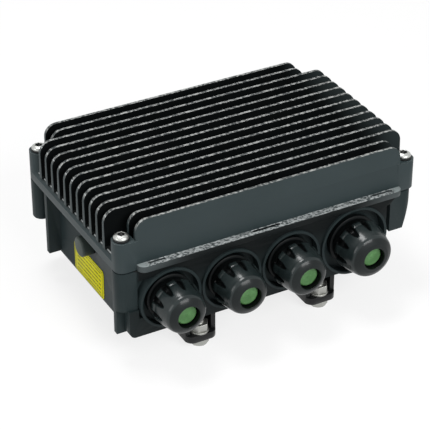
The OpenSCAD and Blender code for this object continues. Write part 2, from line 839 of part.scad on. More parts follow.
module address_switches() {
    color([0.1, 0.1, 0.1]) at_points(dial_xy) difference() {
        translate([-switch_w / 2, -switch_w / 2, terminal_top]) cube([switch_w, switch_w, switch_h]);
        translate([0, 0, terminal_top + 2]) cylinder(h = 10, r = dial_r + 0.08);
    }
}

// Turning dial with a screwdriver slot and a pointer notch
module address_dial(i) {
    color([0.85, 0.5, 0.1]) translate([dial_xy[i][0], dial_xy[i][1], terminal_top + 2]) difference() {
        cylinder(h = switch_h - 1.6, r = dial_r);
        translate([-dial_r + 0.8, -0.4, switch_h - 2.6]) cube([2 * dial_r - 1.6, 0.8, 3]);
        translate([dial_r - 1.6, -0.8, switch_h - 2.6]) cube([0.8, 1.6, 3]);
    }
}

module earth_screw() {
    color([0.75, 0.68, 0.35]) at_points([earth_xy]) {
        translate([0, 0, 3]) cylinder(h = earth_h - 1, r = 2);
        translate([0, 0, earth_h + 1]) cylinder(h = 3, r = 4.04, $fn = 6);
    }
}

module earth_washer() {
    color([0.75, 0.68, 0.35]) at_points([earth_xy]) translate([0, 0, earth_h]) ring(1, 4.8, 2 + bolt_gap);
}

// ---------------------------------------------------------------- nodes

heatsink_cover();
base_housing();
collar_wall();
corner_pillars();
guard_ribs();
mounting_feet();
floor_bosses();
cover_gasket();
cover_screws();
cover_screw_washers();
foot_bolts();
foot_bolt_washers();
foot_bolt_nuts();
rating_label();
vent_plug();
vent_plug_seal();
vent_plug_locknut();
for (i = [0:3]) gland_body(i);
for (i = [0:3]) gland_nut(i);
for (i = [0:3]) gland_seal(i);
for (i = [0:3]) gland_blanking_plug(i);
gland_flange_seals();
gland_locknuts();
thermal_pad();
power_board();
power_transistors();
bulk_capacitors();
choke_core();
choke_winding();
control_board();
board_spacers();
board_screws();
control_chips();
link_header();
link_socket();
terminal_board();
terminal_board_screws();
supply_terminal();
motor_terminal();
signal_terminal();
terminal_clamp_screws();
address_switches();
address_dial(0);  // address_dial_1
address_dial(1);  // address_dial_2
earth_screw();
earth_washer();
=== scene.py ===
"""Looks of a field-mounted stepper driver module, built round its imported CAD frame.

Axes and units are the frame's: metres, +X along the cooling fins, +Z up, -Y towards the glands. Outlines,
edge widths and bump depths are written in millimetres and scaled by MM where they are used.
"""
import math

import bmesh
import bpy
import numpy as np
from mathutils import Matrix, Vector


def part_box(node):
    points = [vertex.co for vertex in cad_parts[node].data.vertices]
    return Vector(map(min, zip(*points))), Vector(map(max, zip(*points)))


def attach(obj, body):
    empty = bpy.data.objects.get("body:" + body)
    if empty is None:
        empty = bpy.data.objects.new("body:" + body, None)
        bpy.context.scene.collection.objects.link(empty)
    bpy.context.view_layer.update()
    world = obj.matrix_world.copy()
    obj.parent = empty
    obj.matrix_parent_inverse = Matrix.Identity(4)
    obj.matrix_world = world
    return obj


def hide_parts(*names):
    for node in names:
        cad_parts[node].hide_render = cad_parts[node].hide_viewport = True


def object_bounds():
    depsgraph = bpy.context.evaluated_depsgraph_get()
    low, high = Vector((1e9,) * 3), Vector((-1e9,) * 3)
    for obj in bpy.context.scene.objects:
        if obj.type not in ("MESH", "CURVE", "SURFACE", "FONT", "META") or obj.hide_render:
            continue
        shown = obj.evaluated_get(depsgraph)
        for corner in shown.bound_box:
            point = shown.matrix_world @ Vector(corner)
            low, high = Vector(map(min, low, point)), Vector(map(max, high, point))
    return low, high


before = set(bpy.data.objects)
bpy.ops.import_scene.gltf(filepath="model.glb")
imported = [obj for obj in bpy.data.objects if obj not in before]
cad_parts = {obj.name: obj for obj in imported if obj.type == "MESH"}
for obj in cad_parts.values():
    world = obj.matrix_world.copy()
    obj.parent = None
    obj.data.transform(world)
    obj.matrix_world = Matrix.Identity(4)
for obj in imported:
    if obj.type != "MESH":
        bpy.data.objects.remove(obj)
cad_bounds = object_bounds()
MM = 0.001
TAU = 2 * math.pi
GLANDS = range(1, 5)


# ------------------------------------------------------------------ meshes

UPRIGHT = np.eye(3)
FORWARD = np.array([[1, 0, 0], [0, 0, -1], [0, 1, 0]])    # turns +Z to -Y


def linked(name, data):
    """An object for a mesh, a light or a camera, put in the scene."""
    obj = bpy.data.objects.new(name, data)
    bpy.context.scene.collection.objects.link(obj)
    return obj


def weld(mesh, distance, then=None):
    """Joins vertices nearer than a distance in metres; then(bm), when given, goes on with the same mesh."""
    bm = bmesh.new()
    bm.from_mesh(mesh)
    bmesh.ops.remove_doubles(bm, verts=bm.verts, dist=distance)
    if then is not None:
        then(bm)
    bm.to_mesh(mesh)
    bm.free()


def finish_mesh(name, verts, faces, materials, smooth_angle):
    """A mesh object from vertices and faces, facing outwards and smooth where it bends less than an angle."""
    mesh = bpy.data.meshes.new(name)
    mesh.from_pydata(verts.tolist(), [], faces if isinstance(faces, list) else faces.tolist())
    weld(mesh, 1e-7, lambda bm: bmesh.ops.recalc_face_normals(bm, faces=bm.faces))
    mesh.polygons.foreach_set("use_smooth", np.ones(len(mesh.polygons), bool))
    mesh.set_sharp_from_angle(angle=math.radians(smooth_angle))
    for material in materials:
        mesh.materials.append(material)
    return linked(name, mesh)


def face_values(mesh, name, width):
    """One value of every face as an array, a row for each face when it has more than one number."""
    values = np.zeros(width * len(mesh.polygons))
    mesh.polygons.foreach_get(name, values)
    return values.reshape(-1, width) if width > 1 else values


def grid_faces(rows, columns, wrap_rows, wrap_columns):
    """Quads between neighbours of a rows by columns grid, closing round either way when asked."""
    r = np.arange(rows if wrap_rows else rows - 1)
    c = np.arange(columns if wrap_columns else columns - 1)
    r0, c0 = np.meshgrid(r, c, indexing="ij")
    r1, c1 = (r0 + 1) % rows, (c0 + 1) % columns
    quads = [r0 * columns + c0, r0 * columns + c1, r1 * columns + c1, r1 * columns + c0]
    return np.stack(quads, -1).reshape(-1, 4)


def turned(profile, sides, closed, shape=None):
    """Vertices and quads of a turned piece: at angle a, profile point (h, r) is (r cos a, r sin a, h).

    closed joins the profile's ends; otherwise both ends sit on the axis. shape(a, h, r), when given, returns
    the radius in place of r.
    """
    h, r = np.asarray(profile, float).T
    aa, hh = np.meshgrid(np.arange(sides) * TAU / sides, h)
    rr = np.repeat(r[:, None], sides, 1)
    if shape is not None:
        rr = shape(aa, hh, rr)
    points = np.stack([rr * np.cos(aa), rr * np.sin(aa), hh], -1)
    return points.reshape(-1, 3), grid_faces(len(h), sides, closed, True)


def place(points, origin, turn):
    """Points in millimetres, turned by a matrix and moved to an origin in metres."""
    return points @ turn.T * MM + np.asarray(origin, float)


def smooth_curve(knots, steps):
    """Even points on a monotone cubic through (h, r) knots: Hermite pieces with limited slopes."""
    k = np.asarray(knots, float)
    s = np.r_[0, np.cumsum(np.hypot(*np.diff(k, axis=0).T))]
    out = np.linspace(0, s[-1], steps)
    cols = []
    for v in k.T:
        d = np.diff(v) / np.diff(s)
        before, after = d[:-1], d[1:]
        slopes = np.where(after * before > 0, 2 * after * before / (after + before + 1e-12), 0)
        m = np.r_[d[0], slopes, d[-1]]
        i = np.clip(np.searchsorted(s, out, "right") - 1, 0, len(d) - 1)
        w = s[i + 1] - s[i]
        t = (out - s[i]) / w
        cols.append((2 * t**3 - 3 * t**2 + 1) * v[i] + (t**3 - 2 * t**2 + t) * w * m[i]
                    + (3 * t**2 - 2 * t**3) * v[i + 1] + (t**3 - t**2) * w * m[i + 1])
    return np.stack(cols, 1)


def joined(parts):
    """One vertex list and one face list from several (vertices, faces) pairs."""
    verts, faces, start = [], [], 0
    for v, f in parts:
        verts.append(v)
        faces += (np.asarray(f) + start).tolist()
        start += len(v)
    return np.concatenate(verts), faces


def stand_for(obj, body, slot, *nodes):
    """Puts a piece on its body and hides the CAD nodes that it stands for; slot is not used."""
    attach(obj, body)
    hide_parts(*nodes)


CAD_WELD = 2e-6      # m, joins the loose triangles of a CAD node
FLAT_ANGLE = 0.6     # degrees, faces that bend less are merged before the bevel
EDGE_ANGLE = 28.0    # degrees, edges that bend more are bevelled


def merged_copy(node):
    """A CAD node's shape as an object of its own, its loose triangles joined up."""
    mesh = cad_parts[node].data.copy()
    weld(mesh, CAD_WELD)
    return linked(node + "_finish", mesh)


def fused(first, others):
    """One mesh from several touching solids, so that no seam shows inside a single casting."""
    for other in others:
        join = first.modifiers.new("fuse", "BOOLEAN")
        join.operation = "UNION"
        join.solver = "EXACT"
        join.object = other
    bpy.context.view_layer.update()
    whole = bpy.data.meshes.new_from_object(first.evaluated_get(bpy.context.evaluated_depsgraph_get()))
    first.modifiers.clear()
    first.data = whole
    for other in others:
        bpy.data.objects.remove(other)


def softened(nodes, body, slot, materials, width, zone=None):
    """CAD nodes' own shape with its sharp edges rounded: flats merged, then a bevel of a narrow width.

    The bevel takes the second material, where there is one. zone(centre, normal, area), when given, numbers
    each face's material.
    """
    obj = merged_copy(nodes[0])
    if len(nodes) > 1:
        fused(obj, [merged_copy(n) for n in nodes[1:]])
    mesh = obj.data
    weld(mesh, CAD_WELD, lambda bm: bmesh.ops.dissolve_limit(
        bm, angle_limit=math.radians(FLAT_ANGLE), verts=bm.verts, edges=bm.edges))
    mesh.materials.clear()
    for material in materials:
        mesh.materials.append(material)
    index = np.zeros(len(mesh.polygons), int)
    if zone is not None:
        index = zone(*(face_values(mesh, *v) for v in (("center", 3), ("normal", 3), ("area", 1))))
    mesh.polygons.foreach_set("material_index", index)
    mesh.polygons.foreach_set("use_smooth", np.ones(len(mesh.polygons), bool))
    bevel = obj.modifiers.new("edge_round", "BEVEL")
    bevel.width = width * MM
    bevel.segments = 2
    bevel.limit_method = "ANGLE"
    bevel.angle_limit = math.radians(EDGE_ANGLE)
    bevel.harden_normals = True
    bevel.use_clamp_overlap = True
    bevel.miter_outer = "MITER_ARC"
    if len(materials) > 1:
        bevel.material = 1
    stand_for(obj, body, slot, *nodes)


# ------------------------------------------------------------------ shader groups

class Wiring:
    """Short calls for adding and joining shader nodes in one tree."""

    def __init__(self, tree):
        self.tree = tree

    def add(self, kind, inputs=None, **settings):
        """A node of a kind, with its inputs joined or set."""
        node = self.tree.nodes.new("ShaderNode" + kind)
        for name, value in settings.items():
            setattr(node, name, value)
        for key, value in (inputs or {}).items():
            self.join(value, node.inputs[key])
        return node

    def join(self, value, socket):
        """Leads another node's socket, or puts a plain value, into a socket."""
        if isinstance(value, bpy.types.NodeSocket):
            self.tree.links.new(value, socket)
        else:
            socket.default_value = value

    def deliver(self, out, *values):
        """Joins values to a group's outputs, in their order."""
        for value, socket in zip(values, out.inputs):
            self.join(value, socket)

    def math(self, operation, a, b=0.0, clamp=False):
        """One sum, by the name of its operation."""
        return self.add("Math", {0: a, 1: b}, operation=operation, use_clamp=clamp).outputs[0]

    def times(self, value, *others):
        """Product of several values."""
        for other in others:
            value = self.math("MULTIPLY", value, other)
        return value

    def ramp(self, value, low, high):
        """Smooth step from 0 at low to 1 at high; low may be the larger one."""
        return self.add("MapRange", {"Value": value, "From Min": low, "From Max": high},
                        interpolation_type="SMOOTHSTEP").outputs[0]

    def band(self, value, start, full, ebb, end):
        """1 between full and ebb, 0 before start and after end."""
        return self.times(self.ramp(value, start, full), self.ramp(value, end, ebb))

    def mix(self, factor, a, b):
        """Colour between a and b."""
        node = self.add("Mix", data_type="RGBA")
        self.join(factor, node.inputs[0])
        self.join(a, node.inputs[6])
        self.join(b, node.inputs[7])
        return node.outputs[2]

    def split(self, vector):
        """The three parts of a vector."""
        return tuple(self.add("SeparateXYZ", {0: vector}).outputs)


def group(name, inputs, outputs):
    """A shader node group with named sockets, each (kind, value) or a kind, and the wiring for its inside."""
    tree = bpy.data.node_groups.new(name, "ShaderNodeTree")
    for socket_name, kind, *value in inputs:
        made = tree.interface.new_socket(socket_name, in_out="INPUT", socket_type="NodeSocket" + kind)
        if value:
            made.default_value = value[0]
    for socket_name in outputs:
        tree.interface.new_socket(socket_name, in_out="OUTPUT", socket_type="NodeSocketFloat")
    return tree, Wiring(tree), tree.nodes.new("NodeGroupInput").outputs, tree.nodes.new("NodeGroupOutput")


def make_grain():
    """Fine orange-peel grain of a powder coat or a mould: noise over small cells."""
    tree, w, into, out = group("fine_grain", [("Vector", "Vector"), ("Scale", "Float", 900.0),
                                              ("Roughness", "Float", 0.6)], ["Height", "Speck"])
    noise = w.add("TexNoise", {"Vector": into[0], "Scale": into[1], "Detail": 3.0, "Roughness": into[2]})
    cells = w.add("TexVoronoi", {"Vector": into[0], "Scale": into[1]}, feature="SMOOTH_F1")
    height = w.math("ADD", w.times(noise.outputs["Fac"], 0.65), w.times(cells.outputs["Distance"], 0.35))
    w.deliver(out, height, w.ramp(noise.outputs["Fac"], 0.55, 0.72))
    return tree


def make_patina():
    """Slow changes of tone and shine over a surface, with faint rubbed patches and dust."""
    tree, w, into, out = group("patina", [("Vector", "Vector"), ("Scale", "Float", 22.0)],
                               ["Tone", "Rub", "Dust"])
    broad = w.add("TexNoise", {"Vector": into[0], "Scale": into[1], "Detail": 4.0, "Roughness": 0.55})
    finer = w.add("TexNoise", {"Vector": into[0], "Scale": w.times(into[1], 7.0), "Detail": 5.0,
                               "Roughness": 0.65, "Distortion": 0.6})
    broad, finer = broad.outputs["Fac"], finer.outputs["Fac"]
    up = w.split(w.add("NewGeometry").outputs["Normal"])[2]
    w.deliver(out, w.ramp(broad, 0.25, 0.75), w.ramp(w.times(broad, finer), 0.24, 0.42),
              w.times(w.ramp(up, 0.5, 1.0), w.ramp(finer, 0.45, 0.75)))
    return tree


def make_scratches():
    """Fine lines along one way, as a brushed or rolled metal has: noise stretched along X."""
    tree, w, into, out = group("fine_lines", [("Vector", "Vector"), ("Scale", "Float", 300.0)],
                               ["Height", "Tone"])
    stretched = w.add("Mapping", {"Vector": into[0], "Scale": (0.06, 1.0, 1.0)}).outputs[0]
    noise = w.add("TexNoise", {"Vector": stretched, "Scale": w.times(into[1], 6.0), "Detail": 4.0,
                               "Roughness": 0.7}).outputs["Fac"]
    w.deliver(out, noise, w.ramp(noise, 0.3, 0.7))
    return tree


GRAIN, PATINA, LINES = make_grain(), make_patina(), make_scratches()


# ------------------------------------------------------------------ kinds of finish

def begin(name):
    """A new material with its wiring, its shader and Object coordinates ready."""
    mat = bpy.data.materials.new(name)
    mat.use_nodes = True
    shader = next(n for n in mat.node_tree.nodes if n.type == "BSDF_PRINCIPLED")
    w = Wiring(mat.node_tree)
    return mat, w, shader.inputs, w.add("TexCoord").outputs["Object"]


def use(w, tree, **inputs):
    """Places a shared group with its own input values."""
    node = w.add("Group")
    node.node_tree = tree
    for name, value in inputs.items():
        w.join(value, node.inputs[name])
    return node.outputs


def add_bump(w, shader, height, strength, depth):
    """Small relief on a shader's normal, its depth in millimetres."""
    lift = w.add("Bump", {"Height": height, "Strength": strength, "Distance": depth * MM})
    w.join(lift.outputs[0], shader["Normal"])


def past(origin, *steps):
    """Places that lie some millimetres past an origin in metres."""
    return tuple(origin + step * MM for step in steps)


DUST = (0.35, 0.35, 0.33, 1)


def surface(name, color, tint, roughness, grain=900.0, bump=0.25, depth=0.02, patina=22.0, dust=0.0,
            rub=0.0, coat=0.0, specular=0.5, shade=None):
    """Moulded or coated surface: base and tint mixed by slow patina, fine grain in bump and roughness.

    shade is (axis, from, to, amount, colour): a painted shade, another colour that comes in along one axis,
    or both ways from its middle.
    """
    mat, w, shader, where = begin(name)
    fine = use(w, GRAIN, Vector=where, Scale=grain)
    slow = use(w, PATINA, Vector=where, Scale=patina)
    col = w.mix(slow["Tone"], (*color, 1), (*tint, 1))
    if rub:
        rubbed = tuple(min(c * 2.2 + 0.02, 1) for c in tint)
        col = w.mix(w.times(slow["Rub"], rub), col, (*rubbed, 1))
    if dust:
        col = w.mix(w.times(slow["Dust"], dust), col, DUST)
    # painted shade, eased in or out along one axis
    if shade:
        axis, low, high, amount, shade_color = shade
        along = w.split(where)["XYZ".index(axis[-1])]
        if axis.startswith("abs"):
            along = w.math("ABSOLUTE", along)
        col = w.mix(w.times(w.ramp(along, low, high), amount), col, (*shade_color, 1))
    w.join(col, shader["Base Color"])
    rough = w.math("ADD", roughness - 0.06, w.times(slow["Tone"], 0.07))
    w.join(w.math("ADD", rough, w.times(fine["Speck"], 0.08), clamp=True), shader["Roughness"])
    shader["Specular IOR Level"].default_value = specular
    if coat:
        shader["Coat Weight"].default_value = coat
        shader["Coat Roughness"].default_value = 0.16
    add_bump(w, shader, fine["Height"], bump, depth)
    return mat


def plated(name, color, roughness, lines=300.0):
    """Plated or turned metal: fine lines in tone, roughness and bump, a slow patina over them."""
    mat, w, shader, where = begin(name)
    fine = use(w, LINES, Vector=where, Scale=lines)
    slow = use(w, PATINA, Vector=where, Scale=160.0)
    dark = tuple(c * 0.72 for c in color) + (1,)
    col = w.mix(w.times(fine["Tone"], 0.45), (*color, 1), dark)
    w.join(w.mix(w.times(slow["Rub"], 0.35), col, dark), shader["Base Color"])
    shader["Metallic"].default_value = 1.0
    w.join(w.math("ADD", roughness, w.times(slow["Tone"], 0.12)), shader["Roughness"])
    add_bump(w, shader, fine["Height"], 0.12, 0.02)
    return mat


cover_lo, cover_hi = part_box("heatsink_cover")
wall_lo, wall_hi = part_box("collar_wall")
FIN_FRONT, FIN_BACK = -cover_hi.y, cover_hi.y    # the outermost fins' outer faces
PLATE_Z = cover_hi.z - 22.4 * MM                 # floor of the gaps between the fins
RIM_Z = PLATE_Z - 3.9 * MM                       # top of the rim round the fins
GAP_END = cover_hi.x - 4 * MM                    # where a gap's floor stops, both ways from the middle
COVER_Z = cover_lo.z
LEDGE_TOP = COVER_Z + 3.8 * MM                   # top of the drip ledge
WALL_FRONT = wall_lo.y + 1.5 * MM                # gland wall between the collars
BOSS_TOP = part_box("cover_screw_washers")[0].z


def cover_coat(name, edge):
    """Charcoal powder coat of the cover, on its flats or, with edge, on its rounded edges.

    The fins' tops get a speckled painted highlight, the gaps between the fins a near-black painted shade, and
    the drip ledge's top a painted highlight broken by a coarse grain; a pale painted highlight line marks
    where the gaps' floors end. On the edges, the bosses' crowns and the rim's foot get painted highlights
    too.
    """
    mat, w, shader, where = begin(name)
    fine = use(w, GRAIN, Vector=where, Scale=850.0)
    slow = use(w, PATINA, Vector=where, Scale=16.0)
    x, y, z = w.split(where)
    nx, ny, nz = w.split(w.add("NewGeometry").outputs["Normal"])
    far_x, far_y, side_x, side_y = (w.math("ABSOLUTE", v) for v in (x, y, nx, ny))
    if edge:
        col = w.mix(slow["Tone"], (0.040, 0.052, 0.055, 1), (0.065, 0.079, 0.082, 1))
    else:
        col = w.mix(slow["Tone"], (0.0185, 0.0295, 0.0315, 1), (0.0225, 0.0345, 0.037, 1))

    boss = w.times(w.ramp(far_x, *past(cover_hi.x, -12.2, -11.8)), w.ramp(far_y, *past(cover_hi.y, -13, -12)))
    inside = w.times(w.band(y, *past(FIN_FRONT, 1.3, 1.7), *past(FIN_BACK, -1.7, -1.3)),
                     w.ramp(z, *past(RIM_Z, 1.2, 1.8)), w.math("SUBTRACT", 1.0, boss))
    # painted shade: the fins' sides and the gaps' floors between the fins are made near black, a little less
    # on the rounded edges
    gap_shade_mask = w.times(inside, w.ramp(side_x, 0.92, 0.8))
    col = w.mix(w.times(gap_shade_mask, 0.8 if edge else 0.93), col, (0.0012, 0.0018, 0.002, 1))

    # painted highlight: the fins' upward-facing tops and rounded ends are made pale, in a speckled grain
    speck = use(w, GRAIN, Vector=where, Scale=560.0, Roughness=0.85)
    painted_top_highlight = w.mix(w.ramp(speck["Height"], 0.39, 0.60), (0.035, 0.041, 0.042, 1), (0.37, 0.38, 0.37, 1))
    round_end = w.times(w.ramp(side_x, 0.2, 0.4), w.ramp(nz, 0.1, 0.8))
    fin_top_highlight = w.times(w.ramp(side_y, 0.62, 0.35), w.ramp(z, *past(PLATE_Z, 11, 13)),
                      w.math("MAXIMUM", w.ramp(nz, 0.86, 0.98), round_end))
    col = w.mix(w.times(fin_top_highlight, 0.95), col, painted_top_highlight)

    # painted highlight: a pale line on the sloped faces just past where each gap's floor ends
    sill_highlight = w.times(w.band(far_x, *past(GAP_END, 1.5, 1.7, 2.0, 2.2)), inside,
                   w.band(nz, 0.3, 0.6, 0.85, 0.95))
    col = w.mix(sill_highlight, col, (0.34, 0.36, 0.36, 1))

    # painted highlight: the drip ledge's top is made pale through a coarse grain, evenly pale near its ends
    ledge = w.times(w.ramp(nz, 0.45, 0.8), w.ramp(y, *past(FIN_FRONT, 0.1, -0.1)),
                    w.band(z, *past(LEDGE_TOP, -0.9, -0.5, 0.3, 0.6)))
    sparkle = use(w, GRAIN, Vector=where, Scale=620.0, Roughness=0.85)
    ledge_top_highlight = w.mix(w.ramp(sparkle["Height"], 0.38, 0.56), (0.05, 0.062, 0.064, 1), (0.46, 0.49, 0.49, 1))
    ledge_top_highlight = w.mix(w.ramp(far_x, 80 * MM, 85 * MM), ledge_top_highlight, (0.27, 0.31, 0.31, 1))
    col = w.mix(ledge, col, ledge_top_highlight)

    if edge:
        # painted highlights: the upward-facing crowns of the screw bosses and the -X-facing foot of the rim
        # are made pale
        crown_highlight = w.times(w.ramp(nz, 0.2, 0.6), w.band(z, *past(BOSS_TOP, -0.6, -0.4, 0.1, 0.3)))
        col = w.mix(w.times(crown_highlight, 0.8), col, (0.30, 0.32, 0.32, 1))
        rim_foot_highlight = w.times(w.ramp(nx, -0.1, -0.5), w.ramp(z, *past(COVER_Z, 0.9, 0.5)))
        col = w.mix(w.times(rim_foot_highlight, 0.8), col, (0.20, 0.22, 0.22, 1))
    w.join(col, shader["Base Color"])
    rough = w.math("ADD", 0.44, w.times(slow["Tone"], 0.08))
    w.join(w.math("ADD", rough, w.times(gap_shade_mask, 0.3), clamp=True), shader["Roughness"])
    shader["Specular IOR Level"].default_value = 0.24
    height = w.math("ADD", fine["Height"], w.times(ledge, sparkle["Height"], 6.0))
    add_bump(w, shader, height, 0.35, 0.035)
    return mat


def label_film(name, lo, hi):
    """Yellow film with a dark frame and plain ruled rows, laid out over the label's box."""
    mat, w, shader, where = begin(name)
    y, z = w.split(where)[1:]
    slow = use(w, PATINA, Vector=where, Scale=60.0)
    u = w.math("DIVIDE", w.math("SUBTRACT", hi.y, y), hi.y - lo.y)
    v = w.math("DIVIDE", w.math("SUBTRACT", z, lo.z), hi.z - lo.z)
    row = w.times(v, 7.0)
    rule = w.ramp(w.math("PINGPONG", row, 0.5), 0.19, 0.11)
    in_row = w.add("CombineXYZ", {0: w.times(u, 26.0), 1: w.math("FLOOR", row)}).outputs[0]
    breaks = w.add("TexNoise", {"Vector": in_row, "Scale": 1.0, "Detail": 1.0}).outputs["Fac"]
    rule = w.times(rule, w.ramp(breaks, 0.37, 0.45), w.band(u, 0.08, 0.10, 0.90, 0.92),
                   w.band(v, 0.12, 0.14, 0.86, 0.88))
    far_u, far_v = (w.math("ABSOLUTE", w.math("SUBTRACT", a, 0.5)) for a in (u, v))
    frame_line = w.times(w.math("MAXIMUM", w.ramp(far_u, 0.455, 0.462), w.ramp(far_v, 0.420, 0.434)),
                         w.ramp(far_u, 0.476, 0.469), w.ramp(far_v, 0.462, 0.448))
    rule = w.math("MAXIMUM", rule, frame_line)
    yellow = w.mix(slow["Tone"], (0.50, 0.475, 0.002, 1), (0.58, 0.55, 0.003, 1))
    w.join(w.mix(w.times(rule, 0.88), yellow, (0.035, 0.035, 0.008, 1)), shader["Base Color"])
    shader["Roughness"].default_value = 0.5
    shader["Specular IOR Level"].default_value = 0.06
    add_bump(w, shader, use(w, GRAIN, Vector=where, Scale=700.0)["Height"], 0.08, 0.01)
    return mat


def solder_mask(name, color):
    """Printed board: solder mask with raised tracks between cells, and a plated pad in each cell's middle."""
    mat, w, shader, where = begin(name)
    cells = w.add("TexVoronoi", {"Vector": where, "Scale": 130.0}, feature="F1", distance="CHEBYCHEV")
    cells = cells.outputs["Distance"]
    tracks = w.ramp(w.math("PINGPONG", w.times(cells, 5.0), 0.5), 0.16, 0.10)
    pads = w.ramp(cells, 0.10, 0.085)
    fine = use(w, GRAIN, Vector=where, Scale=1200.0)
    raised = tuple(c * 2.1 + 0.01 for c in color)
    col = w.mix(w.times(tracks, 0.7), (*color, 1), (*raised, 1))
    w.join(w.mix(pads, col, (0.75, 0.68, 0.45, 1)), shader["Base Color"])
    w.join(w.times(pads, 0.9), shader["Metallic"])
    w.join(w.math("ADD", 0.30, w.times(fine["Speck"], 0.1)), shader["Roughness"])
    add_bump(w, shader, w.math("ADD", tracks, w.times(fine["Height"], 0.2)), 0.4, 0.04)
    return mat


# ------------------------------------------------------------------ finishes

CAST = {"grain": 850.0, "bump": 0.35, "depth": 0.035}
MOULDED = {"grain": 1500.0, "bump": 0.12, "depth": 0.015, "patina": 70.0}

coat = cover_coat("cover_powder_coat", False)
coat_edge = cover_coat("cover_coat_edges", True)
# painted shade: near-black finish for the faces between the fins, eased lighter towards the cover's +X end
painted_gap_shade = surface("fin_gap_painted_shade", (0.0016, 0.0022, 0.0024), (0.0024, 0.0032, 0.0034), 0.82, **CAST,
                    patina=16.0, specular=0.04,
                    shade=("X", *past(cover_hi.x, -26, -5), 1.0, (0.018, 0.024, 0.025)))
# painted shade: near-black for the drip ledge's front, eased lighter towards both ends
ledge_front_shade = surface("ledge_front_painted_shade", (0.0030, 0.0045, 0.0048), (0.0045, 0.0065, 0.007), 0.5, **CAST,
                     patina=30.0, specular=0.12,
                     shade=("absX", 52 * MM, 88 * MM, 1.0, (0.055, 0.066, 0.068)))
# painted shade: the gland wall's front and the flange under the drip ledge are made darker than the base
# coat, darker still towards the top, where the ledge's shadow falls
wall_painted_shade = surface("gland_wall_painted_shade", (0.0065, 0.0098, 0.0102), (0.009, 0.0132, 0.0138), 0.52, **CAST,
                     patina=18.0, specular=0.10,
                     shade=("Z", *past(wall_hi.z, -16, -7), 0.7, (0.0014, 0.002, 0.0022)))
base_coat = surface("base_powder_coat", (0.0125, 0.0198, 0.0208), (0.017, 0.0255, 0.027), 0.50, **CAST,
                    patina=18.0, dust=0.05, specular=0.11)
base_edge = surface("base_coat_edges", (0.030, 0.039, 0.041), (0.05, 0.061, 0.063), 0.44, grain=850.0,
                    bump=0.3, depth=0.03, patina=60.0, specular=0.3)
foot_coat = surface("foot_coat", (0.0022, 0.0028, 0.003), (0.004, 0.005, 0.0055), 0.36, grain=800.0,
                    bump=0.3, depth=0.03, rub=0.15, specular=0.3)
nylon = surface("gland_nut_nylon", (0.0085, 0.0135, 0.0138), (0.0130, 0.0190, 0.0193), 0.42, **MOULDED,
                rub=0.10, specular=0.10, coat=0.45)
# painted shade: the next two finishes are darker copies of the nut nylon, the first for the nut's sloped
# front, the second near black for the flutes, the skirt and the mouth's wall
nylon_front_shade = surface("gland_nut_front_painted_shade", (0.0042, 0.0066, 0.0068), (0.0065, 0.0096, 0.0098), 0.46, **MOULDED,
                      specular=0.10, coat=0.25)
nylon_deep_shade = surface("gland_nut_painted_shade", (0.0012, 0.0017, 0.0018), (0.0022, 0.0030, 0.0032), 0.5, **MOULDED,
                      specular=0.12, coat=0.12)
nylon_dark = surface("gland_body_nylon", (0.0020, 0.0031, 0.0034), (0.0032, 0.0047, 0.0051), 0.5,
                     grain=1400.0, bump=0.2, patina=60.0, specular=0.15)
rubber = surface("seal_rubber", (0.0035, 0.0046, 0.0048), (0.006, 0.0075, 0.0078), 0.72, grain=1600.0,
                 bump=0.3, patina=60.0, dust=0.04, specular=0.15)
plug_plastic = surface("blanking_plug_plastic", (0.043, 0.138, 0.034), (0.060, 0.170, 0.049), 0.55,
                       grain=700.0, bump=0.3, depth=0.04, patina=190.0, rub=0.25)
black_washer = surface("sealing_washer", (0.005, 0.006, 0.0064), (0.009, 0.0105, 0.011), 0.5, grain=1800.0,
                       bump=0.2, patina=90.0, specular=0.25)
# painted shadow: near-black finish for the insides of the screw sockets
socket_painted_shadow = surface("socket_shadow", (0.010, 0.010, 0.011), (0.02, 0.02, 0.021), 0.6, grain=2500.0,
                      patina=300.0)
vent_plastic = surface("vent_plastic", (0.026, 0.036, 0.032), (0.037, 0.049, 0.044), 0.5, grain=1100.0,
                       specular=0.2, patina=90.0)
chip = surface("moulding_compound", (0.010, 0.010, 0.011), (0.016, 0.016, 0.017), 0.55, grain=2200.0,
               bump=0.3)
sleeve = surface("capacitor_sleeve", (0.012, 0.022, 0.06), (0.018, 0.03, 0.075), 0.3, grain=1500.0,
                 bump=0.1, coat=0.3)
ferrite = surface("painted_ferrite", (0.05, 0.055, 0.045), (0.07, 0.075, 0.06), 0.5, bump=0.4)
terminal_plastic = surface("terminal_plastic", (0.02, 0.13, 0.045), (0.03, 0.17, 0.06), 0.42,
                           grain=1300.0, bump=0.2)
dial_plastic = surface("dial_plastic", (0.62, 0.16, 0.02), (0.70, 0.20, 0.03), 0.4, grain=1600.0, bump=0.15)
pad_rubber = surface("thermal_pad_rubber", (0.30, 0.33, 0.37), (0.36, 0.39, 0.43), 0.8, grain=1100.0,
                     bump=0.4)
zinc = plated("bright_zinc", (0.50, 0.51, 0.49), 0.30)
bolt_zinc = plated("dull_zinc", (0.42, 0.425, 0.40), 0.40)
brass = plated("plain_brass", (0.72, 0.50, 0.20), 0.28)
copper = plated("enamelled_copper", (0.62, 0.24, 0.09), 0.25, lines=500.0)
green_board = solder_mask("green_solder_mask", (0.006, 0.07, 0.028))
blue_board = solder_mask("blue_solder_mask", (0.005, 0.03, 0.10))
label_lo, label_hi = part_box("rating_label")
film = label_film("label_film", label_lo, label_hi)


# ------------------------------------------------------------------ glands

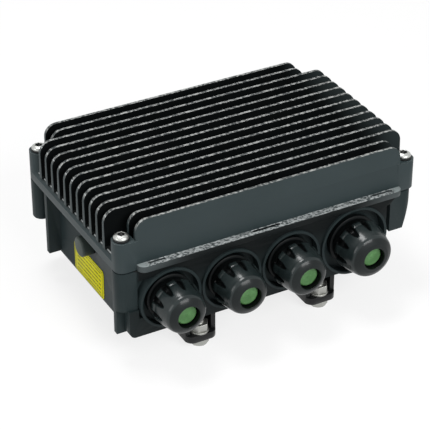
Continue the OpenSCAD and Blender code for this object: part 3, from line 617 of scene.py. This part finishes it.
MOUTH_R, PLUG_R = 6.95, 6.5           # mm, the same in all four glands
NUT_R, NUT_LENGTH = 15.0, 24.0        # mm, the nut that the outline and the sizes below belong to
NUT_OUTLINE = np.array([              # (h, r) from the skirt over the lobes to the front's rim
    (0.0, 12.9), (0.5, 13.3), (3.6, 13.3), (4.3, 13.5), (4.9, 14.2), (5.7, 14.8), (6.8, 15.0), (7.9, 14.85),
    (9.1, 14.5), (10.2, 14.4), (13.0, 14.05), (16.0, 13.5), (18.5, 12.95), (19.9, 12.65), (20.9, 12.2),
    (21.7, 11.5), (22.4, 10.6), (23.05, 9.6), (23.6, 8.6)])
NUT_LIP = np.array([                  # (h, r), its radii the same in all four nuts
    (23.9, MOUTH_R + 0.9), (24.0, MOUTH_R + 0.5), (23.95, MOUTH_R + 0.2), (23.6, MOUTH_R), (22.4, MOUTH_R)])
NUT_BORE = 0.7365                     # bore over outer radius
SKIRT_END, FRONT_START = 4.7, 21.6    # heights where the painted shade changes
FLUTES = 10
FLUTE_DEPTH, FLUTE_FLOOR = 2.5, 11.75    # the second is the least radius that a flute leaves


def nut_radius(scale, length):
    """Radius of a fluted dome: the profile's own, less U-shaped flutes that narrow to a point.

    With p the angle from a flute's middle in half pitches and t the height along the flute, a flute is
    as wide as the square root of 1 - t squared and as deep as 1 - t cubed, flat at the bottom with steep
    walls, and never so deep that it would reach the nut's bore.
    """
    def radius(a, h, r):
        p = np.abs(((a + math.radians(8)) * FLUTES / TAU) % 1.0 - 0.5) * 2
        t = np.clip((h - 0.20 * length) / (0.47 * length), 0, 1)
        width = 0.54 * np.sqrt(1 - t ** 2) + 1e-4
        s = np.clip((1 - p / width) * 2.1, 0, 1)
        outer = (r > 11.3 * scale) & (h > 0.17 * length)
        cut = np.where(outer & (t < 1), FLUTE_DEPTH * scale * (1 - t ** 3) * s * s * (3 - 2 * s), 0)
        return np.where(cut > 0, np.maximum(r - cut, FLUTE_FLOOR * scale), r)
    return radius


def gland_nut(i):
    """Dome nut: skirt, fluted lobes with round shoulders, smooth flank, sloped front round the mouth.

    k and f are this nut's radius and length over the drawn nut's. Faces cut below the outline by a flute,
    the skirt and the mouth's wall take the darkest painted shade; the sloped front takes a lighter one.
    """
    lo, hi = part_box(f"gland_nut_{i}")
    plug_lo, plug_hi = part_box(f"gland_blanking_plug_{i}")
    k = (hi.x - lo.x) / 2 / MM / NUT_R
    f = (hi.y - lo.y) / MM / NUT_LENGTH
    bore = NUT_BORE * NUT_R * k
    outer = smooth_curve(np.r_[NUT_OUTLINE * (f, k), NUT_LIP * (f, 1)], 130)
    inner = np.array([(19.5 * f, MOUTH_R), (15.6 * f, MOUTH_R), (15.3 * f, bore), (8.0 * f, bore),
                      (0.4, bore), (0.0, bore + 0.5)])
    verts, faces = turned(np.r_[outer, inner], 300, True, nut_radius(k, NUT_LENGTH * f))
    centre = ((lo.x + hi.x) / 2, hi.y, (plug_lo.z + plug_hi.z) / 2)
    nut = finish_mesh(f"gland_nut_dome_{i}", place(verts, centre, FORWARD), faces,
                      [nylon, nylon_deep_shade, nylon_front_shade], 50)
    middle = (face_values(nut.data, "center", 3) - centre) / MM
    h, r = -middle[:, 1], np.hypot(middle[:, 0], middle[:, 2])
    rise = np.argmax(outer[:, 0])
    in_flute = np.interp(h, outer[:rise, 0], outer[:rise, 1]) - r > 0.3 * FLUTE_DEPTH * k
    # painted shade: darkest on flutes, skirt and mouth wall, lighter on the sloped front
    dark = (r > 9 * k) & (h < 21 * f) & (in_flute | (h < SKIRT_END * f)) | (r < MOUTH_R + 0.1)
    front = (h > FRONT_START * f) & (r < 11.7 * k)
    nut.data.polygons.foreach_set("material_index", np.where(dark, 1, np.where(front, 2, 0)))
    stand_for(nut, f"nut_{i}", "gland_nut_plastic", f"gland_nut_{i}")


def thread(core, pitch, depth, low, high):
    """Radius of a screw: r, where over core, less a ridge that climbs one pitch a turn from low to high."""
    def radius(a, h, r):
        ridge = np.abs((h / pitch - a / TAU) % 1.0 * 2 - 1)
        ends = np.clip((h - low) / pitch, 0, 1) * np.clip((high - h) / pitch, 0, 1)
        return r - np.where((h > low) & (h < high) & (r > core), depth * ridge * ends, 0)
    return radius


def gland_body(i):
    """Gland body: round flange, threaded neck under the nut and threaded end through the wall, bored through.

    Heights run from the end inside the housing; flange_back is where the flange meets its seal. The small
    glands' neck is wider than their entry thread, the large one's is not.
    """
    lo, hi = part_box(f"gland_body_{i}")
    seal_lo, seal_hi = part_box(f"gland_seal_{i}")
    nut_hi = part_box(f"gland_nut_{i}")[1]
    flange = (hi.x - lo.x) / 2 / MM
    bore = (seal_hi.x - seal_lo.x) / 2 / MM + 0.04
    small = flange < 15
    entry = flange - (4.4 if small else 3.4)
    neck = entry + (0.88 if small else -0.42)
    total = (hi.y - lo.y) / MM
    flange_back = (hi.y - (nut_hi.y + 3.8 * MM)) / MM
    ends = np.linspace(0.6, flange_back - 0.05, 64)
    front = np.linspace(flange_back + 3.6, total - 0.6, 90)
    profile = np.r_[[(0.0, bore - 1.8), (0.0, entry - 0.7)], np.c_[ends, np.full(64, entry)],
                    [(flange_back, entry), (flange_back, flange - 0.5), (flange_back + 0.4, flange),
                     (flange_back + 3.0, flange), (flange_back + 3.4, flange - 0.5),
                     (flange_back + 3.45, neck)],
                    np.c_[front, np.full(90, neck)],
                    [(total, neck - 0.6), (total, bore + 0.3), (total - 0.4, bore), (total - 17.8, bore),
                     (total - 18.0, bore - 1.8)]]
    entry_thread = thread(entry - 0.1, 1.5, 0.75, 0.8, flange_back - 0.6)
    neck_thread = thread(neck - 0.1, 1.5, 0.7, flange_back + 4.2, total - 0.4)
    verts, faces = turned(profile, 96, True, lambda a, h, r: neck_thread(a, h, entry_thread(a, h, r)))
    centre = ((seal_lo.x + seal_hi.x) / 2, hi.y, (seal_lo.z + seal_hi.z) / 2)
    body = finish_mesh(f"gland_body_turned_{i}", place(verts, centre, FORWARD), faces, [nylon_dark], 40)
    stand_for(body, "base", "gland_body_plastic", f"gland_body_{i}")


def blanking_plug(i):
    """Push-in plug: shallow dished face with a rolled rim and a moulding pip, a slightly wider rod behind.

    n is the face's height over the plug's inner end, r its radius.
    """
    lo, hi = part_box(f"gland_blanking_plug_{i}")
    r = PLUG_R
    n = (hi.y - lo.y) / MM - 0.8
    profile = np.array([(0, 0), (0, r - 0.5), (0.4, r), (1.2, r + 0.3), (n - 4.0, r + 0.3), (n - 3.4, r),
                        (n - 1.0, r), (n - 0.55, r - 0.12), (n - 0.18, r - 0.45), (n, r - 0.9),
                        (n - 0.10, r - 1.35), (n - 0.32, r - 1.8), (n - 0.42, r - 3.0), (n - 0.46, 1.6),
                        (n - 0.44, 0.95), (n - 0.30, 0.72), (n - 0.24, 0.4), (n - 0.22, 0)])
    verts, faces = turned(profile, 96, False)
    centre = ((lo.x + hi.x) / 2, hi.y, (lo.z + hi.z) / 2)
    plug = finish_mesh(f"blanking_plug_face_{i}", place(verts, centre, FORWARD), faces, [plug_plastic], 50)
    stand_for(plug, f"plug_{i}", "plug_green", f"gland_blanking_plug_{i}")


for make in (gland_nut, gland_body, blanking_plug):
    for i in GLANDS:
        make(i)


# ------------------------------------------------------------------ screws

HEAD_R, SHANK_R = 4.5, 2.5             # cover screws
SOCKET_DEPTH, SOCKET_RIM = 2.2, 0.12   # their drive socket's reach below the head's top
HEX_FLAT, HEX_CORNER = 5.0, 5.77       # foot bolts, half across flats and corners


def cover_screw(x, y, bottom, top):
    """Pan-head screw: threaded shank, domed head with a six-lobed socket, from bottom to top.

    under is the height of the head's underside over the shank's end.
    """
    under = (top - bottom) / MM - 2.6
    shank = np.linspace(1.2, 12.0, 60)
    head = HEAD_R
    profile = np.r_[[(0, 0), (0, SHANK_R - 0.9)], np.c_[shank, np.full(60, SHANK_R)],
                    [(under, SHANK_R), (under, head - 0.25), (under + 0.25, head - 0.03), (under + 0.8, head),
                     (under + 1.2, head - 0.12), (under + 1.65, head - 0.45), (under + 2.05, head - 0.95),
                     (under + 2.35, head - 1.5), (under + 2.53, head - 1.9)],
                    [(under + 2.6, 2.35), (under + 2.5, 2.2), (under + 0.9, 2.0), (under + 0.7, 0.0)]]
    threads = thread(SHANK_R - 0.1, 0.8, 0.42, 1.0, 12.0)

    def radius(a, h, r):
        in_socket = (h > under + 0.75) & (r < 2.36) & (r > 0.1)
        return np.where(in_socket, r * (1 + 0.13 * np.cos(6 * a)), threads(a, h, r))

    verts, faces = turned(profile, 96, False, radius)
    return place(verts, (x, y, bottom), UPRIGHT), faces


def cover_screws():
    """The four screws at the cover's corners, with a painted shadow inside their sockets."""
    lo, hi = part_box("cover_screws")
    sx, sy = hi.x - HEAD_R * MM, hi.y - HEAD_R * MM
    screws = joined([cover_screw(a * sx, b * sy, lo.z, hi.z) for a in (-1, 1) for b in (-1, 1)])
    obj = finish_mesh("cover_screws_turned", *screws, [zinc, socket_painted_shadow], 40)
    middle = face_values(obj.data, "center", 3)
    off_axis = np.hypot(np.abs(middle[:, 0]) - sx, np.abs(middle[:, 1]) - sy)
    depth = (hi.z - middle[:, 2]) / MM
    # painted shadow: the socket's inside takes the near-black finish
    in_socket = (off_axis < 2.3 * MM) & (depth < SOCKET_DEPTH) & (depth > SOCKET_RIM)
    obj.data.polygons.foreach_set("material_index", in_socket.astype(int))
    stand_for(obj, "cover", "zinc_steel", "cover_screws")


def foot_bolt(x, y, bottom, top):
    """Hexagon bolt: chamfered six-sided head below, threaded shank above it."""
    length = (top - bottom) / MM
    shank = np.linspace(4.4, length - 0.5, 70)
    profile = np.r_[[(0, 0), (0, 4.7), (0.12, 4.95), (0.6, HEX_CORNER), (3.5, HEX_CORNER), (3.9, 5.5),
                     (4.0, 4.9), (4.0, 3.0)],
                    np.c_[shank, np.full(70, 3.0)], [(length, 2.5), (length, 0)]]
    threads = thread(2.9, 1.0, 0.5, 7.5, length - 0.3)

    def radius(a, h, r):
        hexagon = HEX_FLAT / np.cos((a + TAU / 12) % (TAU / 6) - TAU / 12)
        return np.where(r > 4.8, np.minimum(r, hexagon), threads(a, h, r))

    verts, faces = turned(profile, 96, False, radius)
    return place(verts, (x, y, bottom), UPRIGHT), faces


def foot_bolts():
    """The four bolts, one in each foot."""
    lo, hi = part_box("foot_bolts")
    ends = (lo.x + HEX_CORNER * MM, hi.x - HEX_CORNER * MM)
    side = hi.y - HEX_FLAT * MM
    bolts = joined([foot_bolt(x, y, lo.z, hi.z) for x in ends for y in (-side, side)])
    stand_for(finish_mesh("foot_bolts_turned", *bolts, [bolt_zinc], 35), "base", "zinc_steel", "foot_bolts")


cover_screws()
foot_bolts()


# ------------------------------------------------------------------ castings and fixings

def shaded_cover(centre, normal, area):
    """Faces between the fins, their floors, and the drip ledge's front: the faces that take the painted-shade
    finishes.
    """
    y, z = centre[:, 1], centre[:, 2]
    between = (y > FIN_FRONT + 1.6 * MM) & (y < FIN_BACK - 1.6 * MM) & (z > RIM_Z + 0.5 * MM)
    floor = (normal[:, 2] > 0.9) & (np.abs(z - PLATE_Z) < 0.5 * MM)
    ledge = (y < FIN_FRONT - 0.4 * MM) & (z < LEDGE_TOP - 0.1 * MM) & (normal[:, 2] < 0.5)
    between &= ((np.abs(normal[:, 1]) > 0.8) | floor) & (area > 300 * MM ** 2)
    return np.where(between, 2, np.where(ledge, 3, 0))


def shaded_base(centre, normal, area):
    """The gland wall's front between the collars and the flange under the drip ledge: the faces that take the
    painted-shade finish.
    """
    y, z = centre[:, 1], centre[:, 2]
    front = (normal[:, 1] < -0.9) & (np.abs(y - WALL_FRONT) < 0.3 * MM)
    flange = (y < WALL_FRONT + 1.0 * MM) & (z > wall_hi.z - 8 * MM) & (area > 20 * MM ** 2)
    return np.where(front | flange, 2, 0)


softened(["heatsink_cover"], "cover", "cover_coat", [coat, coat_edge, painted_gap_shade, ledge_front_shade], 0.38,
         shaded_cover)
softened(["base_housing", "collar_wall", "corner_pillars", "guard_ribs"], "base", "base_coat",
         [base_coat, base_edge, wall_painted_shade], 0.4, shaded_base)

SOFTENED = {    # per body: node, slot, material, edge width in mm
    "base": (
        ("mounting_feet", "base_coat", foot_coat, 0.5),
        ("floor_bosses", "base_coat", base_coat, 0.25),
        ("foot_bolt_washers", "zinc_steel", bolt_zinc, 0.15),
        ("foot_bolt_nuts", "zinc_steel", bolt_zinc, 0.3),
        ("vent_plug", "vent_plastic", vent_plastic, 0.5),
        ("vent_plug_locknut", "vent_plastic", vent_plastic, 0.3),
        ("gland_locknuts", "gland_body_plastic", nylon_dark, 0.4),
        ("link_socket", "chip_black", chip, 0.2),
        ("supply_terminal", "terminal_plastic", terminal_plastic, 0.2),
        ("motor_terminal", "terminal_plastic", terminal_plastic, 0.2),
        ("signal_terminal", "terminal_plastic", terminal_plastic, 0.2),
        ("address_switches", "chip_black", chip, 0.2),
        ("earth_screw", "spacer_brass", brass, 0.2),
    ),
    "cover": (
        ("cover_screw_washers", "zinc_steel", black_washer, 0.15),
        ("power_transistors", "chip_black", chip, 0.2),
        ("bulk_capacitors", "capacitor_sleeve", sleeve, 0.5),
        ("choke_core", "ferrite", ferrite, 0.8),
        ("board_spacers", "spacer_brass", brass, 0.15),
        ("board_screws", "zinc_steel", zinc, 0.15),
        ("control_chips", "chip_black", chip, 0.15),
        ("link_header", "chip_black", chip, 0.12),
    ),
    "dial_1": (("address_dial_1", "dial_orange", dial_plastic, 0.12),),
    "dial_2": (("address_dial_2", "dial_orange", dial_plastic, 0.12),),
}
for body, rows in SOFTENED.items():
    for node, slot, material, width in rows:
        softened([node], body, slot, [material], width)


def rounded_plate(name, lo, hi, corner, material):
    """Thin plate facing -X with rounded corners: four quarter circles joined, edge slightly lowered."""
    a = np.linspace(0, TAU, 65)[:-1]
    mid_y, mid_z = (lo.y + hi.y) / 2, (lo.z + hi.z) / 2
    flat_y, flat_z = (hi.y - lo.y) / 2 - corner, (hi.z - lo.z) / 2 - corner
    ring_y = np.sign(np.round(np.cos(a), 9)) * flat_y + corner * np.cos(a)
    ring_z = np.sign(np.round(np.sin(a), 9)) * flat_z + corner * np.sin(a)
    rows = []
    for x, s in ((hi.x, 0.0), (hi.x, 1.0), (lo.x + 0.06 * MM, 1.0), (lo.x, 0.994), (lo.x, 0.0)):
        rows.append(np.stack([np.full(len(a), x), mid_y + ring_y * s, mid_z + ring_z * s], -1))
    return finish_mesh(name, np.concatenate(rows), grid_faces(len(rows), len(a), False, True), [material], 30)


stand_for(rounded_plate("ruled_label", label_lo, label_hi, 2.2 * MM, film), "base", "label_film",
          "rating_label")


def choke_wire():
    """Winding of a ring core: a wire that winds round its squarish section on the way round the ring."""
    core_lo, core_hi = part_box("choke_core")
    middle = (core_lo + core_hi) / 2
    r_out, r_in = (core_hi.x - core_lo.x) / 2 / MM, 5.5
    half = (core_hi.z - core_lo.z) / 2 / MM
    wire, turns, steps, sides = 0.72, 14, 28, 8
    clear = wire + 0.05
    t = np.arange(turns * steps) / (turns * steps)
    around, section = t * TAU * 0.93, t * turns * TAU

    def squash(v):
        return np.sign(v) * np.abs(v) ** 0.45

    rad = (r_out + r_in) / 2 + ((r_out - r_in) / 2 + clear) * squash(np.cos(section))
    rise = (half + clear) * squash(np.sin(section))
    path = place(np.stack([rad * np.cos(around), rad * np.sin(around), rise], -1), middle, UPRIGHT)
    ahead = np.gradient(path, axis=0)
    ahead /= np.linalg.norm(ahead, axis=1)[:, None]
    side = np.cross(ahead, np.stack([-np.sin(around), np.cos(around), np.zeros_like(around)], -1))
    side /= np.linalg.norm(side, axis=1)[:, None]
    up = np.cross(side, ahead)
    a = np.arange(sides)[None, :, None] * TAU / sides
    ring = path[:, None] + wire * MM * (np.cos(a) * side[:, None] + np.sin(a) * up[:, None])
    last = (len(path) - 1) * sides
    caps = [list(range(sides))[::-1], list(range(last, last + sides))]
    faces = grid_faces(len(path), sides, False, True).tolist() + caps
    stand_for(finish_mesh("choke_wire", ring.reshape(-1, 3), faces, [copper], 60), "cover", "copper_wire",
              "choke_winding")


choke_wire()

PLAIN = {
    "cover_gasket": rubber, "vent_plug_seal": rubber, "gland_flange_seals": rubber, "thermal_pad": pad_rubber,
    "power_board": green_board, "terminal_board": green_board, "control_board": blue_board,
    "terminal_board_screws": zinc, "terminal_clamp_screws": zinc, "earth_washer": brass,
    **{f"gland_seal_{i}": rubber for i in GLANDS},
}
for node, material in PLAIN.items():
    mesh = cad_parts[node].data
    mesh.materials.clear()
    mesh.materials.append(material)


# ------------------------------------------------------------------ stage

def seen_directly(w):
    """1 where the camera looks straight, through glass or in a mirror; 0 for light that spreads."""
    path = w.add("LightPath").outputs
    seen = w.math("MAXIMUM", path["Is Camera Ray"], path["Is Transmission Ray"])
    return w.math("MAXIMUM", seen, path["Is Glossy Ray"])


def stage_floor():
    """Wide pale floor under the feet; part of what the camera sees comes straight as white."""
    steps = np.linspace(-6, 6, 24)
    gx, gy = np.meshgrid(steps, steps, indexing="ij")
    verts = np.stack([gx, gy, np.full_like(gx, cad_bounds[0][2] - 0.2 * MM)], -1).reshape(-1, 3)
    mat, w, shader, where = begin("pale_floor")
    fine = use(w, GRAIN, Vector=where, Scale=60.0)
    w.join(w.mix(fine["Height"], (0.90, 0.90, 0.90, 1), (0.94, 0.94, 0.94, 1)), shader["Base Color"])
    shader["Roughness"].default_value = 0.75
    glow = w.add("Emission", {"Color": (1, 1, 1, 1), "Strength": 1.0}).outputs[0]
    diffuse = next(n for n in mat.node_tree.nodes if n.type == "BSDF_PRINCIPLED").outputs[0]
    blend = w.add("MixShader", {0: w.times(seen_directly(w), 0.78), 1: diffuse, 2: glow})
    out = next(n for n in mat.node_tree.nodes if n.type == "OUTPUT_MATERIAL")
    w.join(blend.outputs[0], out.inputs["Surface"])
    mesh = bpy.data.meshes.new("floor")
    mesh.from_pydata(verts.tolist(), [], grid_faces(len(steps), len(steps), False, False).tolist())
    mesh.materials.append(mat)
    floor = linked("floor", mesh)


def studio_world():
    """Even grey light all round, white where it is seen directly."""
    world = bpy.data.worlds.new("studio")
    bpy.context.scene.world = world
    world.use_nodes = True
    w = Wiring(world.node_tree)
    back = next(n for n in world.node_tree.nodes if n.type == "BACKGROUND").inputs
    w.join((1, 1, 1, 1), back["Color"])
    w.join(w.math("ADD", 0.34, w.times(seen_directly(w), 0.66)), back["Strength"])


def soft_light(name, at, aim, width, height, power):
    """Rectangular soft light that looks from one point to another."""
    data = bpy.data.lights.new(name, "AREA")
    data.shape = "RECTANGLE"
    data.size, data.size_y = width, height
    data.energy = power
    obj = linked(name, data)
    obj.location = at
    obj.rotation_euler = (Vector(aim) - Vector(at)).to_track_quat("-Z", "Y").to_euler()


def camera():
    """Long lens from the front left, about a third of a right angle above the floor."""
    turn, tilt = math.radians(-28.58), math.radians(32.48)
    ahead = Vector((-math.sin(turn) * math.cos(tilt), math.cos(turn) * math.cos(tilt), -math.sin(tilt)))
    right = Vector((math.cos(turn), math.sin(turn), 0))
    up = right.cross(ahead)
    data = bpy.data.cameras.new("camera")
    data.lens = 156.83
    data.sensor_width = 36.0
    data.clip_end = 50
    obj = linked("camera", data)
    rot = Matrix((right, up, -ahead)).transposed().to_4x4()
    obj.matrix_world = Matrix.Translation((-0.4675, -0.8512, 0.6387)) @ rot
    bpy.context.scene.camera = obj


camera()
stage_floor()
studio_world()
soft_light("front_soft", (0.15, -1.25, 0.95), (0, 0, 0.03), 0.9, 0.5, 16)
soft_light("top_soft", (-0.15, 0.25, 1.3), (0, 0, 0.05), 0.5, 0.35, 9)
soft_light("left_soft", (-1.3, -0.1, 0.6), (0, 0, 0.03), 0.8, 0.8, 5)
bpy.context.scene.view_settings.view_transform = "Standard"
